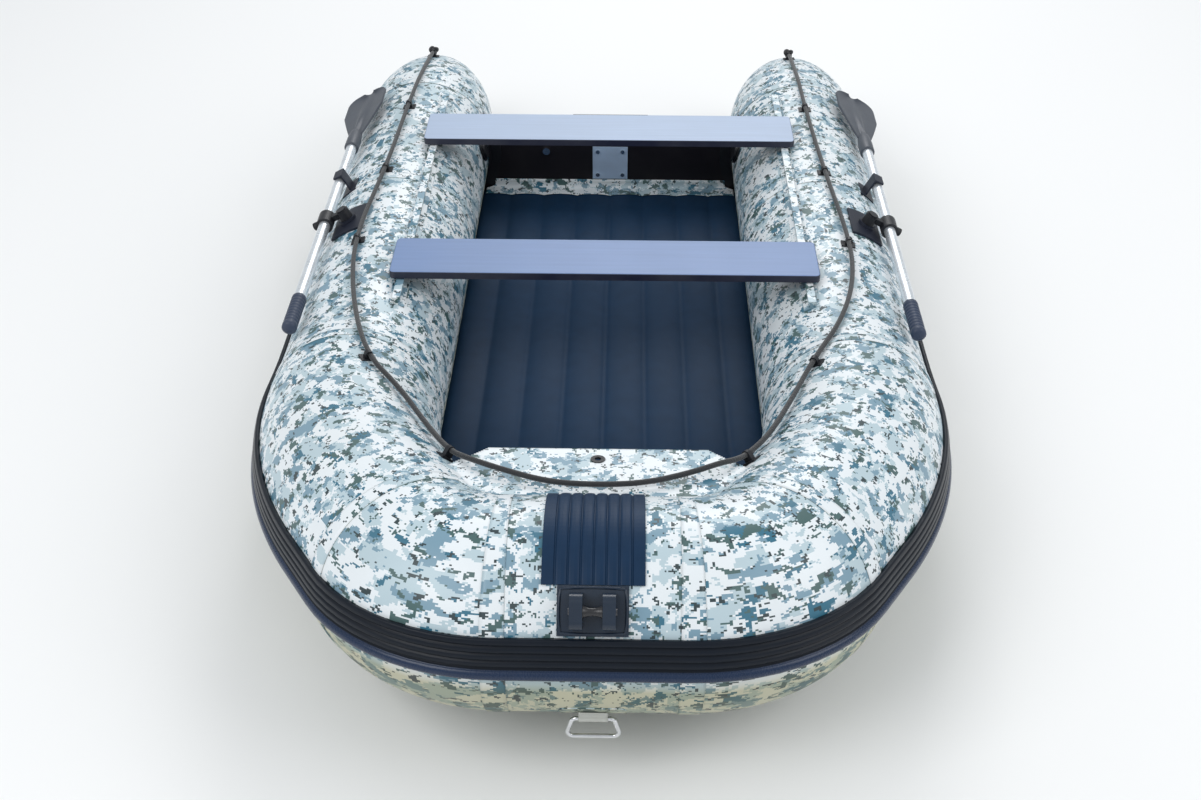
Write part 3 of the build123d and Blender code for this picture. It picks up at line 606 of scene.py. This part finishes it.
# the strip of printed fabric that seals the mat to the board's foot
flap_low, flap_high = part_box("transom_flap")
flap = bmesh.new()
grid = bmesh.ops.create_grid(flap, x_segments=160, y_segments=14, size=1)["verts"]
for vert in grid:
    t = (vert.co.y + 1) / 2
    rise = max(0, t * 1.25 - 0.86) / 0.39
    x = vert.co.x * (0.372 - 0.026 * min(1, 6 * rise))
    y = flap_low.y + 0.001 + (flap_high.y - flap_low.y - 0.004) * min(1, t * 1.25)
    ripple = 0.0006 * noise.noise(Vector((x * 18, t * 2, 1)))
    groove = 0.0068 * (1 - abs(sin(pi * x / channel)) ** 0.55)
    height = flap_low.z + 0.0018 - groove * (1 - rise) * 0.9
    height += (flap_high.z - flap_low.z - 0.003) * rise ** 1.4
    vert.co = Vector((x, y + ripple * rise, height + ripple))
flap_sheet = to_object(flap, "transom_seal")
flap_sheet.data.materials.append(bottom_fabric)
cloth = flap_sheet.modifiers.new("cloth", "SOLIDIFY")
cloth.thickness, cloth.offset = 0.0012, 0
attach(flap_sheet, "hull")
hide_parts("transom_flap")


# ---------------------------------------------------------------- bow apron
# A panel of the printed fabric, glued to the tubes across the bow end of the cockpit. Its
# free aft edge is hemmed and has an eyelet.

skin_tree = BVHTree.FromObject(hull_skin, bpy.context.evaluated_depsgraph_get())
slope = sin(bow_pitch) / cos(bow_pitch)
edge_z = 0.4171
edge_y = -0.8841
apron_half, apron_reach = 0.31, 0.190
eyelet_hole = 0.0085


def apron_height(x, y):
    """Height of the taut sheet, and of the tube below or above it."""
    flat = edge_z + (edge_y - y) * slope
    hit = skin_tree.ray_cast(Vector((x, y, 2)), Vector((0, 0, -1)))[0]
    return flat, (hit.z if hit else -1)


eye_low, eye_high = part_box("apron_eyelet")
eyelet_middle = ((eye_low + eye_high) / 2).to_2d()
apron = bmesh.new()
grid = bmesh.ops.create_grid(apron, x_segments=150, y_segments=48, size=1)["verts"]
for vert in grid:
    x = vert.co.x * apron_half
    y = edge_y - (vert.co.y + 1) / 2 * apron_reach
    flat, tube = apron_height(x, y)
    vert.co = Vector((x, y, max(flat, tube + 0.0012)))
    corner = abs(x) - 0.215 - max(0, edge_y - y) * 1.14
    in_eyelet = (Vector((x, y)) - eyelet_middle).length < eyelet_hole
    vert.select = tube > flat + 0.012 or corner > 0.001 or in_eyelet
bmesh.ops.delete(apron, geom=[v for v in apron.verts if v.select], context="VERTS")
apron_sheet = to_object(apron, "apron_sheet")
apron_sheet.data.materials.append(bottom_fabric)
cloth = apron_sheet.modifiers.new("cloth", "SOLIDIFY")
cloth.thickness, cloth.offset = 0.0014, 0
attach(apron_sheet, "hull")
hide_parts("bow_apron")
paint(moulded_black, "apron_eyelet")


# ---------------------------------------------------------------- bow pad
# A thick rubber pad glued over the bow, with fore-and-aft ribs between two flat margins,
# so an anchor and its rope can be dragged over it.

bow_centre = Vector((0, bow_y, 0.304196))
pad = bmesh.new()
half = 0.0885
ribs = [(-half, 0.0006), (-half, 0.0036), (-half + 0.0012, 0.0046), (-0.0685, 0.0046),
        (-0.0675, 0.0024)]
for k in range(6):
    x = -0.0650 + k * 0.0220
    ribs += [(x, 0.0026), (x + 0.0012, 0.0044), (x + 0.004, 0.0054), (x + 0.0100, 0.0058),
             (x + 0.0160, 0.0054), (x + 0.0188, 0.0044), (x + 0.020, 0.0026)]
ribs += [(0.0675, 0.0024), (0.0685, 0.0046), (half - 0.0012, 0.0046), (half, 0.0036),
         (half, 0.0006)]
pad_start, pad_turn = radians(45) + bow_pitch, radians(77)
pad_out = Vector((0, -cos(pad_start), sin(pad_start)))
rim = [pad.verts.new(bow_centre + pad_out * (tube_radius + d) + Vector((x, 0, 0)))
       for x, d in ribs]
edges = [pad.edges.new((a, b)) for a, b in zip(rim, rim[1:] + rim[:1])]
bmesh.ops.contextual_create(pad, geom=edges)
bmesh.ops.spin(pad, geom=rim + edges, cent=bow_centre, axis=(-1, 0, 0), angle=pad_turn, steps=26,
               use_merge=False, use_duplicate=False)
bmesh.ops.holes_fill(pad, edges=pad.edges, sides=0)
bmesh.ops.recalc_face_normals(pad, faces=pad.faces)
pad_rubber = plain_finish("pad_rubber", (0.0055, 0.026, 0.066), 0.006, 0.46, 600.0, 0.15,
                          Specular_IOR_Level=0.18)
bow_pad_ribbed = to_object(pad, "bow_pad_ribbed", smooth=False)
bow_pad_ribbed.data.materials.append(pad_rubber)
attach(bow_pad_ribbed, "hull")
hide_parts("bow_pad")


# ---------------------------------------------------------------- fairlead and towing ring
# The fairlead is moulded in black plastic, with a waisted roller on a steel pin. The towing
# ring hangs from a loop of webbing on a glued patch.

roller_plastic = plain_finish("roller_plastic", (0.020, 0.020, 0.024), 0.04, 0.30, 900.0, 0.1)
# painted light: the fairlead's black plastic is made a lighter blue, as its lit cheeks look
fairlead_plastic_lit = plain_finish("fairlead_plastic_lit", (0.009, 0.020, 0.040), 0.01, 0.30, 900.0, 0.15)
pin_steel = plain_finish("pin_steel", (0.12, 0.12, 0.13), 0.03, 0.35, 300.0, 0.05, Metallic=1.0)
paint(fairlead_plastic_lit, "fairlead")
rim_points = []
rim_wide, rim_turn, rim_round = 0.0575, radians(11.3), 0.008
base_radius = 0.2
rim_reach = rim_turn * base_radius
for k in range(48):
    a = 2 * pi * k / 48
    x = max(-1, min(1, cos(a) * 1.42)) * (rim_wide - rim_round) + cos(a) * rim_round
    t = max(-1, min(1, sin(a) * 1.42)) * (rim_reach - rim_round) + sin(a) * rim_round
    turn = radians(32.35) + bow_pitch + t / base_radius
    r = tube_radius + 0.0063
    rim_points.append((x, bow_y - r * cos(turn), bow_centre.z + r * sin(turn)))
line = bpy.data.curves.new("fairlead_rim", "CURVE")
line.dimensions, line.bevel_depth = "3D", 0.0026
line.bevel_resolution, line.resolution_u = 4, 4
spline = line.splines.new("NURBS")
spline.points.add(len(rim_points) - 1)
for point, place in zip(spline.points, rim_points):
    point.co = (*place, 1)
spline.order_u, spline.use_cyclic_u = 3, True
fairlead_rim = bpy.data.objects.new("fairlead_rim", line)
bpy.context.scene.collection.objects.link(fairlead_rim)
fairlead_rim.data.materials.append(fairlead_plastic_lit)
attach(fairlead_rim, "hull")
paint(roller_plastic, "fairlead_roller")
paint(pin_steel, "roller_pin")
paint(polished_steel, "bow_ring")

# the ring's patch is glued flat on the tube, with rounded corners
ring_turn = radians(-48) + bow_pitch
patch_half, patch_round = 0.060, 0.016
patch_reach = radians(14) * tube_radius
patch = bmesh.new()
grid = bmesh.ops.create_grid(patch, x_segments=48, y_segments=40, size=1)["verts"]
for vert in grid:
    x, t = vert.co.x * patch_half, vert.co.y * patch_reach
    over = Vector((max(0, abs(x) - patch_half + patch_round),
                   max(0, abs(t) - patch_reach + patch_round)))
    if over.x and over.y:
        pull = max(over.x, over.y) / over.length
        x -= (over.x - over.x * pull) * (1 if x > 0 else -1)
        t -= (over.y - over.y * pull) * (1 if t > 0 else -1)
    turn = ring_turn + t / tube_radius
    r = tube_radius + 0.0006
    vert.co = Vector((x, bow_y - r * cos(turn), bow_centre.z + r * sin(turn)))
ring_patch_glued = to_object(patch, "ring_patch_glued")
ring_patch_glued.data.materials.append(bottom_fabric)
cloth = ring_patch_glued.modifiers.new("cloth", "SOLIDIFY")
cloth.thickness, cloth.offset = 0.0014, 0
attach(ring_patch_glued, "hull")
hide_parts("bow_ring_patch")

# a strap of pale webbing is sewn to the patch, goes over the ring's bar and comes back
strap = bmesh.new()
bar_height, bar_round = 0.0108, 0.0055
strap_width, strap_steps = 0.053, 12
path = [(-0.022, 0.0020), (-0.012, 0.0022), (-0.0085, 0.0038)]
for a in range(-20, 201, 20):
    path.append((-bar_round * cos(radians(a)), bar_height + bar_round * sin(radians(a))))
path += [(0.0085, 0.0038), (0.012, 0.0022), (0.022, 0.0020)]
outward = Vector((0, -cos(ring_turn), sin(ring_turn)))
round_tube = Vector((0, sin(ring_turn), cos(ring_turn)))
strap_side = bow_centre + outward * tube_radius - Vector((strap_width / 2, 0, 0))
line = [strap.verts.new(strap_side + round_tube * t + outward * h) for t, h in path]
edges = [strap.edges.new(pair) for pair in zip(line, line[1:])]
for k in range(strap_steps):
    grown = bmesh.ops.extrude_edge_only(strap, edges=edges)["geom"]
    verts = [part for part in grown if isinstance(part, bmesh.types.BMVert)]
    bmesh.ops.translate(strap, vec=(strap_width / strap_steps, 0, 0), verts=verts)
    edges = [part for part in grown if isinstance(part, bmesh.types.BMEdge)
             and part.verts[0] in verts and part.verts[1] in verts]
bmesh.ops.recalc_face_normals(strap, faces=strap.faces)
webbing, tree, shader = new_material("webbing", Sheen_Weight=0.2)
place = add(tree, "ShaderNodeTexCoord").outputs["Object"]
rows = add(tree, "ShaderNodeTexWave", {"Vector": place, "Scale": 260.0, "Distortion": 0.6})
finish_with(tree, shader, place, (0.52, 0.53, 0.49, 1), 0.2, 0.7, 1500.0, 0.3)
weave = add(tree, "ShaderNodeBump", {
    "Height": rows.outputs["Fac"], "Strength": 0.5, "Distance": 0.0005})
tree.links.new(shader.inputs["Normal"].links[0].from_socket, weave.inputs["Normal"])
tree.links.new(weave.outputs[0], shader.inputs["Normal"])
ring_strap = to_object(strap, "ring_strap")
ring_strap.data.materials.append(webbing)
cloth = ring_strap.modifiers.new("cloth", "SOLIDIFY")
cloth.thickness, cloth.offset = 0.0013, 0
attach(ring_strap, "hull")


# ---------------------------------------------------------------- seats and rails
# Two boards of blue-grey painted plywood with dark edges. Their end blocks grip the rails
# along the tubes, which are covered in the printed fabric, and slide fore and aft on them.


def seat_paint(name, top, edge):
    """Paint on top and a darker colour on every face that does not face up, with faint grain
    showing through.
    """
    made, tree, shader = new_material(name, Coat_Weight=0.1, Coat_Roughness=0.4)
    place = add(tree, "ShaderNodeTexCoord").outputs["Object"]
    turned = add(tree, "ShaderNodeMapping", {"Vector": place, "Scale": (1.2, 34, 34)})
    grain = add(tree, "ShaderNodeTexNoise", {
        "Vector": turned.outputs[0], "Scale": 3.0, "Detail": 5.0})
    normal = add(tree, "ShaderNodeNewGeometry").outputs["Normal"]
    facing = add(tree, "ShaderNodeSeparateXYZ", {"Vector": normal})
    flat = add(tree, "ShaderNodeMath", {0: facing.outputs["Z"], 1: 0.7}, operation="GREATER_THAN")
    shade = add(tree, "ShaderNodeMapRange", {
        "Value": grain.outputs["Fac"], "To Min": 0.90, "To Max": 1.10})
    tone = add(tree, "ShaderNodeVectorMath", {0: top[:3]}, operation="SCALE")
    tree.links.new(shade.outputs[0], tone.inputs["Scale"])
    mix = add(tree, "ShaderNodeMix", {"Factor": flat.outputs[0]}, data_type="RGBA")
    mix.inputs[6].default_value = edge
    tree.links.new(tone.outputs[0], mix.inputs[7])
    finish_with(tree, shader, place, mix.outputs[2], 0.08, 0.42, 500.0, 0.08)
    return made


seat_edge = (0.012, 0.014, 0.035, 1)
# the two boards carry one paint: the front board's top is a darker copy of it, painted shade, and
# the rear board's a lighter copy, painted light
paint(seat_paint("front_seat_paint_shaded", (0.150, 0.236, 0.44), seat_edge), "front_seat")
paint(seat_paint("rear_seat_paint_lit", (0.37, 0.46, 0.62), seat_edge), "rear_seat")
paint(bottom_fabric, "seat_rails")
paint(moulded_black, "front_seat_sliders", "rear_seat_sliders")


# ---------------------------------------------------------------- rowlocks and clips
# Rubber pads glued on the tubes carry the rowlock's stem; its turning head holds the oar
# in a collar. A clip further aft holds the stowed shaft.

rowlock_rubber = plain_finish("rowlock_rubber", (0.010, 0.014, 0.028), 0.02, 0.46, 700.0, 0.2,
                              Specular_IOR_Level=0.4)
paint(rowlock_rubber, "rowlock_bases", "oar_clips")
paint(moulded_black, "port_rowlock_yoke", "starboard_rowlock_yoke")


# ---------------------------------------------------------------- oars
# Each oar is an aluminium tube with a plastic grip and a spoon blade of dark plastic, which
# has a ridge down its middle.

oar_alloy = plain_finish("oar_alloy", (0.80, 0.84, 0.88), 0.04, 0.30, 260.0, 0.06, Metallic=0.75)
blade_plastic = plain_finish("blade_plastic", (0.055, 0.065, 0.085), 0.06, 0.42, 900.0, 0.2)
grip_plastic = plain_finish("grip_plastic", (0.020, 0.035, 0.075), 0.05, 0.45, 900.0, 0.2)
paint(oar_alloy, "port_oar_shaft", "starboard_oar_shaft")
across = Vector((0.882948, 0, -0.469472))
off_tube = Vector((0.469472, 0, 0.882948))
shaft_line = Vector((0.645077, 0, 0.365292)) + across * 0.052 + off_tube * 0.028
oar_place = Matrix((
    (across.x, 0, off_tube.x, shaft_line.x), (0, 1, 0, 0),
    (across.z, 0, off_tube.z, shaft_line.z), (0, 0, 0, 1)))

blade = bmesh.new()
grid = bmesh.ops.create_grid(blade, x_segments=28, y_segments=48, size=1)["verts"]
blade_start, blade_reach, blade_half = 0.572, 0.287, 0.0638
for vert in grid:
    t = (vert.co.y + 1) / 2
    u = vert.co.x
    wide = blade_half * min(1, 0.24 + 1.25 * t ** 0.85)
    wide *= sqrt(max(0.02, 1 - max(0, (t - 0.80) / 0.205) ** 2.6))
    ridge = 0.011 * (1 - t) ** 0.7 * exp(-(u / (0.16 + 0.1 * t)) ** 2)
    spoon = 0.010 * u * u * t - 0.004 * t * t
    vert.co = Vector((u * wide, blade_start + blade_reach * t, ridge + spoon - 0.001))
bmesh.ops.transform(blade, matrix=oar_place, verts=blade.verts)


def lathe(outline, place, segments=48):
    """Turns an outline of (radius, height) pairs about its own Z, then puts it in place."""
    bm = bmesh.new()
    line = [bm.verts.new((r, 0, h)) for r, h in outline]
    edges = [bm.edges.new(pair) for pair in zip(line, line[1:])]
    bmesh.ops.spin(bm, geom=line + edges, cent=(0, 0, 0), axis=(0, 0, 1), angle=2 * pi,
                   steps=segments, use_merge=True)
    bmesh.ops.remove_doubles(bm, verts=bm.verts, dist=0.00001)
    bmesh.ops.recalc_face_normals(bm, faces=bm.faces)
    bmesh.ops.transform(bm, matrix=place, verts=bm.verts)
    return bm


neck = [(0.0141, 0.0), (0.0185, 0.0), (0.0195, 0.004), (0.0195, 0.05), (0.0175, 0.075),
        (0.016, 0.092), (0.010, 0.105), (0.0, 0.108)]
neck_place = oar_place @ Matrix.Translation((0, 0.500, 0)) @ Matrix.Rotation(-pi / 2, 4, "X")
grip_shape = [(0.0, -0.001), (0.012, -0.001), (0.0168, 0.003), (0.0172, 0.010)]
for k in range(9):
    y = 0.016 + k * 0.0115
    grip_shape += [(0.0170, y), (0.0156, y + 0.002), (0.0156, y + 0.005), (0.0170, y + 0.007)]
grip_shape += [(0.0172, 0.121), (0.0168, 0.127), (0.0145, 0.1295), (0.0141, 0.1295)]
grip_place = oar_place @ Matrix.Translation((0, -0.395, 0)) @ Matrix.Rotation(-pi / 2, 4, "X")
for side, flip in (("port", 1), ("starboard", -1)):
    for part, source, made, solid in (
        ("oar_blade", blade, blade_plastic, 0.0055),
        ("oar_neck", lathe(neck, neck_place), blade_plastic, 0),
        ("oar_grip", lathe(grip_shape, grip_place), grip_plastic, 0),
    ):
        copy = source.copy()
        if flip < 0:
            bmesh.ops.scale(copy, vec=(-1, 1, 1), verts=copy.verts)
            bmesh.ops.reverse_faces(copy, faces=copy.faces)
        piece = to_object(copy, f"{side}_{part}_shaped")
        piece.data.materials.append(made)
        if solid:
            wall = piece.modifiers.new("wall", "SOLIDIFY")
            wall.thickness, wall.offset = solid, 0
            soft = piece.modifiers.new("soft_edge", "BEVEL")
            soft.width, soft.segments, soft.limit_method = 0.0015, 2, "ANGLE"
        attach(piece, f"{side}_oar")
        if part in ("oar_blade", "oar_grip"):
            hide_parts(f"{side}_{part}")
blade.free()


# ---------------------------------------------------------------- air valves
# Plastic inflation valves set in the skin, one for each chamber and one for the floor mat,
# under screwed caps.

paint(moulded_black, "valve_bodies", "valve_caps")


# ---------------------------------------------------------------- lifeline
# A black braided rope, 11 mm thick, that runs round the hull through moulded holders from
# one tail to the other, with a stopper knot at each end.

route = [
    (0.545, 1.160, 0.371), (0.549, 0.955, 0.401), (0.551, 0.722, 0.400),
    (0.566, 0.337, 0.399), (0.592, -0.030, 0.396), (0.577, -0.220, 0.399),
    (0.530, -0.390, 0.402), (0.452, -0.540, 0.397), (0.392, -0.690, 0.398),
    (0.335, -0.830, 0.414), (0.287, -0.902, 0.421), (0.261, -0.937, 0.436),
    (0.234, -0.958, 0.446), (0.178, -0.992, 0.449), (0.092, -1.026, 0.450),
    (0, -1.036, 0.452),
    (-0.092, -1.026, 0.450), (-0.178, -0.990, 0.449), (-0.240, -0.952, 0.442),
    (-0.288, -0.900, 0.421), (-0.345, -0.800, 0.408), (-0.415, -0.675, 0.409),
    (-0.500, -0.570, 0.421), (-0.572, -0.310, 0.399), (-0.612, -0.030, 0.392),
    (-0.583, 0.337, 0.398), (-0.572, 0.722, 0.400), (-0.560, 0.955, 0.401),
    (-0.552, 1.160, 0.372)]


def rope_curve(name, points, thickness, closed=False):
    """A smooth rope along its route."""
    line = bpy.data.curves.new(name, "CURVE")
    line.dimensions = "3D"
    line.bevel_depth, line.bevel_resolution, line.resolution_u = thickness, 4, 12
    spline = line.splines.new("NURBS")
    spline.points.add(len(points) - 1)
    for point, place in zip(spline.points, points):
        point.co = (*place, 1)
    spline.order_u, spline.use_endpoint_u, spline.use_cyclic_u = 3, not closed, closed
    line.use_fill_caps = True
    piece = bpy.data.objects.new(name, line)
    bpy.context.scene.collection.objects.link(piece)
    return piece


rope_fibre, tree, shader = new_material("rope_fibre", Sheen_Weight=0.3)
place = add(tree, "ShaderNodeTexCoord").outputs["Object"]
braid = add(tree, "ShaderNodeTexVoronoi", {"Vector": place, "Scale": 330.0})
finish_with(tree, shader, place, (0.006, 0.0065, 0.009, 1), 0.02, 0.62, 1200.0, 0.4)
weave = add(tree, "ShaderNodeBump", {
    "Height": braid.outputs["Distance"], "Strength": 0.8, "Distance": 0.001})
tree.links.new(shader.inputs["Normal"].links[0].from_socket, weave.inputs["Normal"])
tree.links.new(weave.outputs[0], shader.inputs["Normal"])
lifeline = rope_curve("lifeline_rope", route, 0.0055)
lifeline.data.materials.append(rope_fibre)
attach(lifeline, "hull")
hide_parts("lifeline")

# an overhand knot at each end bears on the last holder
knots = []
knot_size, knot_strand = 0.0038, 0.0050
for name, end, near in (("port_knot", route[0], route[1]),
                        ("starboard_knot", route[-1], route[-2])):
    out = (Vector(end) - Vector(near)).normalized()
    turned = out.to_track_quat("Z", "Y").to_matrix()
    turns = []
    for k in range(36):
        a = 2 * pi * k / 36
        loop_at = Vector((sin(a) + 2 * sin(2 * a), cos(a) - 2 * cos(2 * a), -1.4 * sin(3 * a)))
        turns.append(Vector(end) + out * 0.008 + turned @ loop_at * knot_size)
    knots.append(rope_curve(name, turns, knot_strand, closed=True))
    knots[-1].data.materials.append(rope_fibre)
    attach(knots[-1], "hull")
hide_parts("lifeline_knots")
paint(moulded_black, "lifeline_holders")
